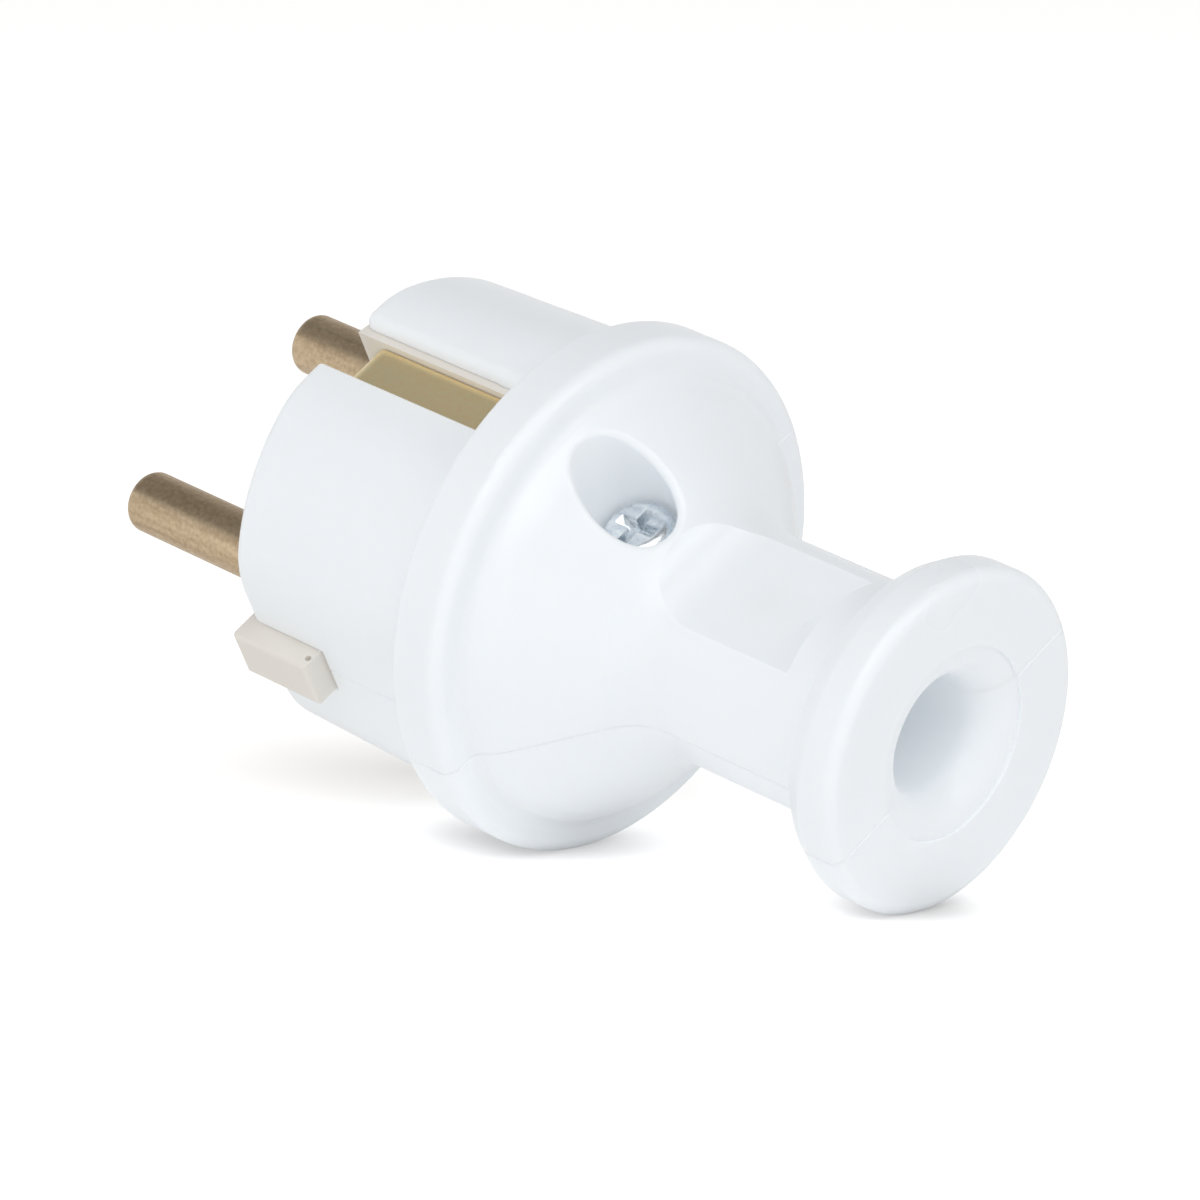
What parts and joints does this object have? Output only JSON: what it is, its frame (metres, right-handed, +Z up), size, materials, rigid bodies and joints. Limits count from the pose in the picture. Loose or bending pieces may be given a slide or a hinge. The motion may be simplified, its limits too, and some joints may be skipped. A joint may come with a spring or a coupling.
{
  "type": "earthed mains plug",
  "caption": "Round rewirable earthed mains plug with two pins, side earth contacts, broad grip flange and waisted handle, lying on its rims.",
  "frame": {"origin": "on the floor, below the centre of the whole plug's box", "axes": "+Z up, the plug lies on its flange rim and handle rim with the handle towards +X and the pins towards -X"},
  "size_m": [0.0762, 0.0398, 0.0412],
  "materials": {
    "white_plastic": "smooth moulded, soft shine",
    "cream_plastic": "moulded, slightly matt",
    "brass": "satin, slightly tarnished",
    "zinc_steel": "zinc plated"
  },
  "bodies": {
    "root": {"upper_shell": "white_plastic", "lower_shell": "white_plastic", "pin_carrier": "cream_plastic", "pin_1": "brass", "pin_2": "brass", "terminal_screw_1": "zinc_steel", "terminal_screw_2": "zinc_steel", "earth_strip": "brass", "earth_washer": "brass", "earth_screw": "zinc_steel", "cord_clamp": "zinc_steel", "clamp_screw_1": "zinc_steel", "clamp_screw_2": "zinc_steel", "housing_screw": "zinc_steel", "housing_nut": "zinc_steel"}
  },
  "joints": []
}
